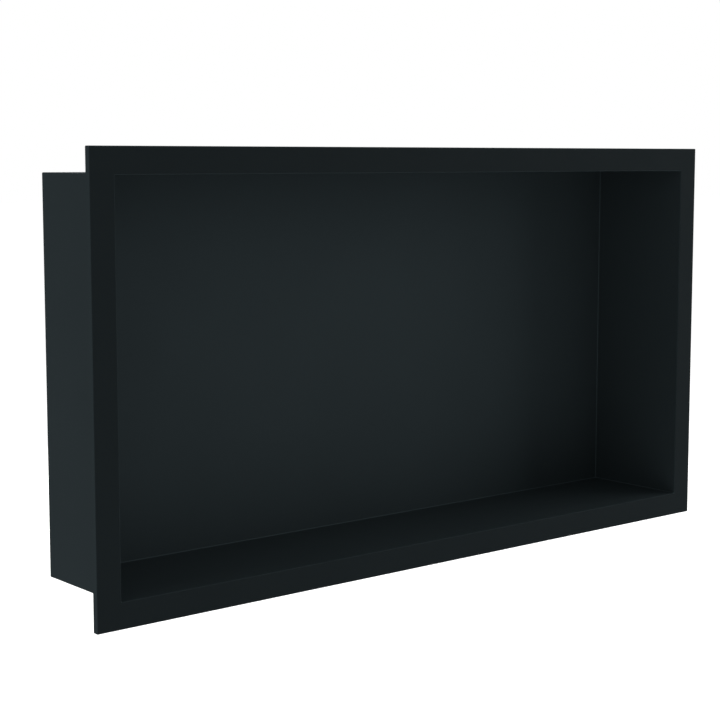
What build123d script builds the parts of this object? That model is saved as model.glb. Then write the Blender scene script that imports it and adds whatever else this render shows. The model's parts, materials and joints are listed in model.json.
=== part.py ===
from build123d import *
import os

# Shower niche insert: a recessed shelf box for a tiled wall, folded from one thickness of steel
# sheet, with its corners welded and ground smooth.
# The origin is the middle of the opening, on the face of the finished wall.
# +X is to the right, +Y goes into the wall and +Z is up.

# Opening and depth, in millimetres
clear_width = 600.0
clear_height = 300.0
overall_depth = 100.0  # front of the flange to the outside of the back panel

# Sheet, and the rounding that its folds and ground welds leave
sheet = 1.2
edge_radius = 0.8  # on the outside of a fold
crease_radius = 0.8  # on the inside of a fold

# Flange round the opening, and the edge that is turned back from it to the wall
flange_face = 20.0
return_depth = 5.0

# Sizes that follow from those above
box_width = clear_width + 2 * sheet
box_height = clear_height + 2 * sheet
clear_depth = overall_depth - sheet
flange_width = clear_width + 2 * flange_face
flange_height = clear_height + 2 * flange_face

wall = Plane.XZ
front = wall.offset(return_depth)


with BuildPart() as niche_insert:
    # The flange is a shallow tray, open towards the wall
    with BuildSketch(front):
        Rectangle(flange_width, flange_height)
    extrude(amount=-return_depth)
    wall_side = niche_insert.faces().sort_by(Axis.Y).last
    offset(amount=-sheet, openings=wall_side, kind=Kind.INTERSECTION)

    # Folds and welded corners of the turned-back edge, inside and then outside
    flange_back = niche_insert.faces().filter_by(Axis.Y).sort_by(Axis.Y)[1]
    inner_corners = niche_insert.edges().filter_by(Axis.Y).group_by(SortBy.LENGTH)[0]
    fillet(flange_back.edges() + inner_corners, crease_radius)
    flange_front = niche_insert.faces().sort_by(Axis.Y).first
    outer_corners = niche_insert.edges().filter_by(Axis.Y).group_by(SortBy.LENGTH)[-1]
    fillet(flange_front.edges() + outer_corners, edge_radius)

    # The box goes back into the wall, with folds round its back panel and a weld in each corner
    with BuildSketch(front):
        Rectangle(box_width, box_height)
    extrude(amount=-overall_depth)
    back_panel = niche_insert.faces().sort_by(Axis.Y).last
    box_corners = niche_insert.edges().filter_by(Axis.Y).group_by(SortBy.LENGTH)[-1]
    fillet(back_panel.edges() + box_corners, edge_radius)

    # Behind the flange, the fold where it leaves the box
    flange_back = niche_insert.faces().filter_by(Axis.Y).sort_by(Axis.Y)[1]
    fillet(flange_back.inner_wires()[0].edges(), crease_radius)

    # The niche itself, hollow to the back panel, with a crease at each fold and weld
    with BuildSketch(front):
        Rectangle(clear_width, clear_height)
    extrude(amount=-clear_depth, mode=Mode.SUBTRACT)
    niche_back = niche_insert.faces().filter_by(Axis.Y).sort_by(Axis.Y)[-2]
    niche_corners = niche_insert.edges().filter_by(Axis.Y).group_by(SortBy.LENGTH)[-1]
    fillet(niche_back.edges() + niche_corners, crease_radius)

    # The fold round the opening, seen from the room
    flange_front = niche_insert.faces().sort_by(Axis.Y).first
    fillet(flange_front.inner_wires()[0].edges(), edge_radius)

niche_insert.part.label = "niche_insert"

os.makedirs("parts", exist_ok=True)
export_step(niche_insert.part, "parts/niche_insert.step")
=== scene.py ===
"""Shower niche insert of folded steel, finished in matt black powder coat and set up in a plain studio."""

import json
from math import cos, radians, sin
from typing import NamedTuple

import bmesh
import bpy
from bpy.props import FloatProperty, FloatVectorProperty, PointerProperty
from bpy.types import Operator, Panel, PropertyGroup
from mathutils import Matrix, Vector


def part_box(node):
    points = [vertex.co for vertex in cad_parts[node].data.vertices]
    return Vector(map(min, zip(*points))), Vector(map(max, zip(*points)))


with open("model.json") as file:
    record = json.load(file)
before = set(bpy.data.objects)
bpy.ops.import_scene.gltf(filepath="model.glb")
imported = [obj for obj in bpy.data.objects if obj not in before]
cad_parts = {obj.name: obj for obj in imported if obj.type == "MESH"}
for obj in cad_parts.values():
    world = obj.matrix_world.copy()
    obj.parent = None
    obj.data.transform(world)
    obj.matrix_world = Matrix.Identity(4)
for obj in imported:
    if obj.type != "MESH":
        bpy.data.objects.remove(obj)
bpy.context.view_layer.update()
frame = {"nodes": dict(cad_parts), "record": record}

bl_info = {
    "name": "Shower Niche Insert",
    "version": (1, 0, 0),
    "blender": (4, 5, 0),
    "location": "3D View > Sidebar > Niche",
    "description": "Powder coats a folded steel shower niche and lights it in a plain studio",
    "category": "Object",
}

NICHE = "niche_insert"

MM = 0.001
SENSOR_WIDTH = 36.0

OPAQUE = 1.0
WHITE = (1.0, 1.0, 1.0, OPAQUE)

# Nearly all of a noise lies between these levels.
NOISE_LOW = 0.3
NOISE_HIGH = 0.7

# How many finer layers each noise of the coat has.
CLOUD_DETAIL = 3.0
PATCH_DETAIL = 4.0
PEEL_DETAIL = 1.0
GRAIN_DETAIL = 2.0

# How many patches of roughness go into the width of a cloud.
PATCHES_PER_CLOUD = 4

# The painted crease highlight begins where a point that touches one wall comes near a second, and is full
# where it touches both.
ONE_WALL = 1.0
TWO_WALLS = 2.0

# The record's opening keeps clear of the walls, and their faces count as inside by a thin skin.
OPENING_CLEARANCE = 0.5 * MM
WALL_SKIN = 0.1 * MM

low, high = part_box(NICHE)
middle = (low + high) / 2
openings = {opening["name"]: opening["box_m"] for opening in frame["record"]["physics"]["openings"]}
inside = Vector(openings["niche"][1]) + Vector.Fill(3, OPENING_CLEARANCE)


class NicheCoat(PropertyGroup):
    """The powder coat that covers the whole niche."""

    colour: FloatVectorProperty(
        name="Colour", description="Blue-green black of the cured powder",
        subtype="COLOR", size=3, min=0.0, max=1.0, default=(0.0168, 0.0230, 0.0253),
    )
    # The flange's front face is simply coloured darker than the rest of the coat, by this factor.
    face_shade: FloatProperty(
        name="Face Shade", description="How light the finer finish of the flange's face is, beside the rest",
        subtype="FACTOR", min=0.0, max=1.0, default=0.49,
    )
    face_margin: FloatProperty(
        name="Face Margin", description="Depth over which the finish of the face gives way to the rest",
        unit="LENGTH", min=0.0, default=0.25 * MM,
    )
    # Painted highlight: the coat is coloured lighter deep in the creases, standing in for the light their
    # rounded fillets catch.
    crease_highlight: FloatProperty(
        name="Crease Shade", description="How much lighter the coat is deep in a crease, where it lies thin",
        subtype="FACTOR", min=0.0, max=10.0, default=1.7,
    )
    crease_reach: FloatProperty(
        name="Crease Reach", description="Distance from a wall at which its crease begins",
        unit="LENGTH", min=0.1 * MM, default=0.8 * MM,
    )
    cloud_shade: FloatProperty(
        name="Cloud Shade", description="How much lighter the coat is where it lies thin",
        subtype="FACTOR", min=0.0, max=1.0, default=0.03,
    )
    cloud_size: FloatProperty(
        name="Cloud Size", description="Width of the patches where the coat lies thick or thin",
        unit="LENGTH", min=1 * MM, default=90 * MM,
    )
    roughness: FloatProperty(
        name="Roughness", description="Roughness of the matt finish",
        subtype="FACTOR", min=0.0, max=1.0, default=0.75,
    )
    roughness_shift: FloatProperty(
        name="Roughness Shift", description="How far the roughness strays from patch to patch",
        subtype="FACTOR", min=0.0, max=0.5, default=0.03,
    )
    gloss: FloatProperty(
        name="Gloss", description="Strength of the reflection, where 0.5 is that of bare lacquer",
        subtype="FACTOR", min=0.0, max=1.0, default=0.01,
    )
    peel_size: FloatProperty(
        name="Peel Size", description="Width of the soft ripples that powder cures into",
        unit="LENGTH", min=0.1 * MM, default=2.2 * MM,
    )
    peel_height: FloatProperty(
        name="Peel Height", description="Height of those ripples",
        unit="LENGTH", min=0.0, default=0.012 * MM,
    )
    grain_size: FloatProperty(
        name="Grain Size", description="Width of the fine grain that makes the coat matt",
        unit="LENGTH", min=0.1 * MM, default=0.5 * MM,
    )
    grain_height: FloatProperty(
        name="Grain Height", description="Height of the fine grain",
        unit="LENGTH", min=0.0, default=0.003 * MM,
    )


class NicheStudio(PropertyGroup):
    """The floor, the lights and the camera round the niche."""

    camera_place: FloatVectorProperty(
        name="Camera Place", description="Where the camera stands, to the left of the opening",
        subtype="TRANSLATION", unit="LENGTH", size=3, default=(-0.8959, -0.9883, 0.1614),
    )
    camera_turn: FloatProperty(
        name="Camera Turn", description="How far the camera looks to the right of straight at the wall",
        unit="ROTATION", default=radians(39.623),
    )
    camera_dip: FloatProperty(
        name="Camera Dip", description="How far the camera looks down",
        unit="ROTATION", default=radians(6.367),
    )
    camera_lens: FloatProperty(
        name="Lens", description="Focal length on a sensor 36 mm wide",
        subtype="DISTANCE_CAMERA", min=10.0, default=82.58,
    )
    camera_shift: FloatProperty(
        name="Shift", description="How far the picture is moved up, as a share of its width",
        min=-1.0, max=1.0, default=-0.0243,
    )
    floor_drop: FloatProperty(
        name="Floor Drop", description="Height of the flange's lower edge above the floor",
        unit="LENGTH", min=0.0, default=300 * MM,
    )
    floor_size: FloatProperty(
        name="Floor Size", description="Width of the floor",
        unit="LENGTH", min=1.0, default=40.0,
    )
    floor_colour: FloatProperty(
        name="Floor Colour", description="How much of the light that falls on it the floor gives back",
        subtype="FACTOR", min=0.0, max=1.0, default=0.9,
    )
    floor_white: FloatProperty(
        name="Floor White", description="Brightness that the floor shows far off, where 1 is white",
        min=0.0, default=1.02,
    )
    lamps_fade: FloatProperty(
        name="Lamps Fade", description="Distance on the floor at which the lamps begin to fade",
        unit="LENGTH", min=0.0, default=1.2,
    )
    lamps_end: FloatProperty(
        name="Lamps End", description="Distance on the floor at which the lamps have faded",
        unit="LENGTH", min=0.0, default=3.0,
    )
    room_light: FloatProperty(
        name="Room Light", description="Strength of the even light from all round",
        min=0.0, default=0.51,
    )
    lamp_level: FloatProperty(
        name="Lamp Level", description="What the power of every softbox is multiplied by",
        min=0.0, default=1.0,
    )


class Softbox(NamedTuple):
    """A rectangular lamp that looks at the niche, in metres and watts."""

    place: tuple
    width: float
    height: float
    power: float


SOFTBOXES = {
    "left_softbox": Softbox(place=(-1.7, -0.08, 0.1), width=0.9, height=0.8, power=7.2),
    "right_softbox": Softbox(place=(2.9, -1.35, 0.5), width=2.3, height=1.9, power=82.0),
    "top_softbox": Softbox(place=(0.15, 0.45, 1.8), width=1.0, height=1.0, power=43.0),
    "rear_softbox": Softbox(place=(0.9, 2.0, 0.5), width=1.2, height=1.2, power=15.0),
}


def new_material(name):
    """An empty node material, with its node tree and its output node."""
    material = bpy.data.materials.new(name)
    material.use_nodes = True
    tree = material.node_tree
    tree.nodes.clear()
    return material, tree, tree.nodes.new("ShaderNodeOutputMaterial")


def calculate(tree, operation, first, second=0.0):
    """What a Math node makes of one or two values, each a float or a socket."""
    node = tree.nodes.new("ShaderNodeMath")
    node.operation = operation
    for value, socket in zip((first, second), node.inputs):
        if isinstance(value, float):
            socket.default_value = value
        else:
            tree.links.new(value, socket)
    return node.outputs["Value"]


def ramp(tree, value, start, end, lowest=0.0, highest=1.0):
    """Climbs from one level to another as the value goes from start to end."""
    node = tree.nodes.new("ShaderNodeMapRange")
    node.inputs["From Min"].default_value = start
    node.inputs["From Max"].default_value = end
    node.inputs["To Min"].default_value = lowest
    node.inputs["To Max"].default_value = highest
    tree.links.new(value, node.inputs["Value"])
    return node.outputs["Result"]


def noise(tree, place, width, detail):
    """Noise whose blotches are about as wide as asked, read in the object's own metres."""
    node = tree.nodes.new("ShaderNodeTexNoise")
    node.inputs["Scale"].default_value = 1 / width
    node.inputs["Detail"].default_value = detail
    tree.links.new(place, node.inputs["Vector"])
    return node.outputs["Fac"]


def spread(tree, value, lowest, highest):
    """Maps the middle of a noise, where nearly all of it lies, onto a range."""
    return ramp(tree, value, NOISE_LOW, NOISE_HIGH, lowest, highest)


def bump(tree, height, distance, under=None):
    """A bump of the given height, laid over another one where there is one."""
    node = tree.nodes.new("ShaderNodeBump")
    node.inputs["Distance"].default_value = distance
    tree.links.new(height, node.inputs["Height"])
    if under is not None:
        tree.links.new(under, node.inputs["Normal"])
    return node.outputs["Normal"]


def painted_highlight_in_creases(tree, across, deep, up, coat):
    """A painted highlight in the creases, where two or three walls of the niche are near: a factor above 1
    that lightens the colour there, and 1 elsewhere.
    """
    sideways = calculate(tree, "ABSOLUTE", across)
    upright = calculate(tree, "ABSOLUTE", up)
    near, within = 0.0, 1.0
    for value, wall in zip((sideways, deep, upright), inside):
        near = calculate(tree, "ADD", ramp(tree, value, wall - coat.crease_reach, wall), near)
        within = calculate(tree, "MULTIPLY", calculate(tree, "LESS_THAN", value, wall + WALL_SKIN), within)
    walls = calculate(tree, "MULTIPLY", near, within)
    return ramp(tree, walls, ONE_WALL, TWO_WALLS, 1.0, 1.0 + coat.crease_highlight)


def coat_colour(tree, place, coat):
    """The colour of the coat: darker on the flange's face, lighter in the creases by a painted highlight,
    and faintly clouded.
    """
    axes = tree.nodes.new("ShaderNodeSeparateXYZ")
    tree.links.new(place, axes.inputs["Vector"])
    across, deep, up = axes.outputs
    face = ramp(tree, deep, low.y, low.y + coat.face_margin, coat.face_shade)
    creases = painted_highlight_in_creases(tree, across, deep, up, coat)
    clouds = noise(tree, place, coat.cloud_size, CLOUD_DETAIL)
    shade = spread(tree, clouds, 1 - coat.cloud_shade, 1 + coat.cloud_shade)
    # The shade takes in the flange face's darker colour and the painted crease highlight.
    for finish in (face, creases):
        shade = calculate(tree, "MULTIPLY", shade, finish)
    colour = tree.nodes.new("ShaderNodeMix")
    colour.data_type = "RGBA"
    colour.blend_type = "MULTIPLY"
    colour.inputs["Factor"].default_value = 1.0
    colour.inputs["A"].default_value = (*coat.colour, OPAQUE)
    tree.links.new(shade, colour.inputs["B"])
    return colour.outputs["Result"]


def coat_roughness(tree, place, coat):
    """The roughness of the coat, which strays a little from patch to patch."""
    patches = noise(tree, place, coat.cloud_size / PATCHES_PER_CLOUD, PATCH_DETAIL)
    shiniest = coat.roughness - coat.roughness_shift
    dullest = coat.roughness + coat.roughness_shift
    return spread(tree, patches, shiniest, dullest)


def coat_relief(tree, place, coat):
    """The relief of the coat: soft ripples, with a fine grain over them."""
    ripples = bump(tree, noise(tree, place, coat.peel_size, PEEL_DETAIL), coat.peel_height)
    return bump(tree, noise(tree, place, coat.grain_size, GRAIN_DETAIL), coat.grain_height, ripples)


def powder_coat(coat):
    """Matt black powder coat."""
    material, tree, output = new_material("powder_coat_matt_black")
    place = tree.nodes.new("ShaderNodeTexCoord").outputs["Object"]
    surface = tree.nodes.new("ShaderNodeBsdfPrincipled")
    surface.inputs["Specular IOR Level"].default_value = coat.gloss
    tree.links.new(coat_colour(tree, place, coat), surface.inputs["Base Color"])
    tree.links.new(coat_roughness(tree, place, coat), surface.inputs["Roughness"])
    tree.links.new(coat_relief(tree, place, coat), surface.inputs["Normal"])
    tree.links.new(surface.outputs["BSDF"], output.inputs["Surface"])
    return material


class NICHE_OT_coat(Operator):
    """Give the folded niche its powder coat"""

    bl_idname = "niche.coat"
    bl_label = "Powder Coat the Niche"

    def execute(self, context):
        node = frame["nodes"][NICHE]
        finish = powder_coat(context.scene.niche_coat)
        for slot in node.material_slots:
            slot.material = finish
        return {"FINISHED"}


def seen(tree):
    """1 on rays that show a surface to the eye, straight or by way of gloss or glass, and 0 on others."""
    path = tree.nodes.new("ShaderNodeLightPath")
    total = path.outputs["Is Camera Ray"]
    for kind in ("Is Glossy Ray", "Is Transmission Ray"):
        total = calculate(tree, "MAXIMUM", total, path.outputs[kind])
    return total


def white_room(context, strength):
    """A world that looks white, and lights the niche evenly from all round."""
    world = bpy.data.worlds.new("white_room")
    world.use_nodes = True
    tree = world.node_tree
    sky = tree.nodes["Background"]
    sky.inputs["Color"].default_value = WHITE
    tree.links.new(ramp(tree, seen(tree), 0.0, 1.0, strength), sky.inputs["Strength"])
    context.scene.world = world


def floor_paint(studio):
    """White paint that keeps the niche's shadow, with a glow that makes up for the lamps where they fade."""
    material, tree, output = new_material("floor_white")
    grey = studio.floor_colour
    paint = tree.nodes.new("ShaderNodeBsdfDiffuse")
    paint.inputs["Color"].default_value = (grey, grey, grey, OPAQUE)
    place = tree.nodes.new("ShaderNodeTexCoord").outputs["Object"]
    distance = tree.nodes.new("ShaderNodeVectorMath")
    distance.operation = "LENGTH"
    tree.links.new(place, distance.inputs["Vector"])
    far_glow = studio.floor_white - studio.floor_colour * studio.room_light
    level = ramp(tree, distance.outputs["Value"], studio.lamps_fade, studio.lamps_end, 0.0, far_glow)
    glow = tree.nodes.new("ShaderNodeEmission")
    tree.links.new(calculate(tree, "MULTIPLY", level, seen(tree)), glow.inputs["Strength"])
    both = tree.nodes.new("ShaderNodeAddShader")
    for shader, socket in zip((paint.outputs["BSDF"], glow.outputs["Emission"]), both.inputs):
        tree.links.new(shader, socket)
    tree.links.new(both.outputs["Shader"], output.inputs["Surface"])
    return material


def floor(studio):
    """A plain floor, well below the niche."""
    shape = bmesh.new()
    bmesh.ops.create_grid(shape, x_segments=1, y_segments=1, size=studio.floor_size / 2)
    bmesh.ops.translate(shape, verts=shape.verts, vec=(middle.x, middle.y, low.z - studio.floor_drop))
    mesh = bpy.data.meshes.new("floor")
    shape.to_mesh(mesh)
    shape.free()
    mesh.materials.append(floor_paint(studio))
    return bpy.data.objects.new("floor", mesh)


def looking(place, target):
    """A matrix at one place whose -Z axis looks at another, kept upright."""
    turn = (Vector(target) - Vector(place)).to_track_quat("-Z", "Y")
    return Matrix.Translation(place) @ turn.to_matrix().to_4x4()


def light(context, name, softbox, level):
    """Puts up a softbox, which lights the niche and isn't seen itself."""
    lamp = bpy.data.lights.new(name, "AREA")
    lamp.shape = "RECTANGLE"
    lamp.size = softbox.width
    lamp.size_y = softbox.height
    lamp.energy = softbox.power * level
    box = bpy.data.objects.new(name, lamp)
    box.visible_camera = False
    box.matrix_world = looking(softbox.place, middle)
    context.scene.collection.objects.link(box)


def camera(context, studio):
    """Puts up the camera and makes it the scene's."""
    lens = bpy.data.cameras.new("camera")
    lens.sensor_width = SENSOR_WIDTH
    lens.lens = studio.camera_lens
    lens.shift_y = studio.camera_shift
    turn, dip = studio.camera_turn, studio.camera_dip
    ahead = Vector((sin(turn) * cos(dip), cos(turn) * cos(dip), -sin(dip)))
    place = Vector(studio.camera_place)
    body = bpy.data.objects.new("camera", lens)
    body.matrix_world = looking(place, place + ahead)
    context.scene.collection.objects.link(body)
    context.scene.camera = body


class NICHE_OT_studio(Operator):
    """Set up the floor, the lights and the camera"""

    bl_idname = "niche.studio"
    bl_label = "Set Up the Studio"

    def execute(self, context):
        scene = context.scene
        studio = scene.niche_studio
        white_room(context, studio.room_light)
        ground = floor(studio)
        scene.collection.objects.link(ground)
        for name, softbox in SOFTBOXES.items():
            light(context, name, softbox, studio.lamp_level)
        camera(context, studio)
        scene.view_settings.view_transform = "Standard"
        return {"FINISHED"}


class NICHE_PT_panel(Panel):
    """The niche's finish and studio, in the sidebar"""

    bl_idname = "NICHE_PT_panel"
    bl_label = "Shower Niche Insert"
    bl_space_type = "VIEW_3D"
    bl_region_type = "UI"
    bl_category = "Niche"

    def draw(self, context):
        for settings, operator in (
            (context.scene.niche_coat, NICHE_OT_coat),
            (context.scene.niche_studio, NICHE_OT_studio),
        ):
            box = self.layout.box()
            for name in settings.__annotations__:
                box.prop(settings, name)
            box.operator(operator.bl_idname)


CLASSES = (NicheCoat, NicheStudio, NICHE_OT_coat, NICHE_OT_studio, NICHE_PT_panel)


def register():
    """Registers the classes and gives the scene its settings."""
    for cls in CLASSES:
        bpy.utils.register_class(cls)
    bpy.types.Scene.niche_coat = PointerProperty(type=NicheCoat)
    bpy.types.Scene.niche_studio = PointerProperty(type=NicheStudio)


def unregister():
    """Takes away what register added."""
    del bpy.types.Scene.niche_studio
    del bpy.types.Scene.niche_coat
    for cls in reversed(CLASSES):
        bpy.utils.unregister_class(cls)


def main():
    """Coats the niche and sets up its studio."""
    register()
    bpy.ops.niche.coat()
    bpy.ops.niche.studio()


if __name__ == "__main__":
    main()
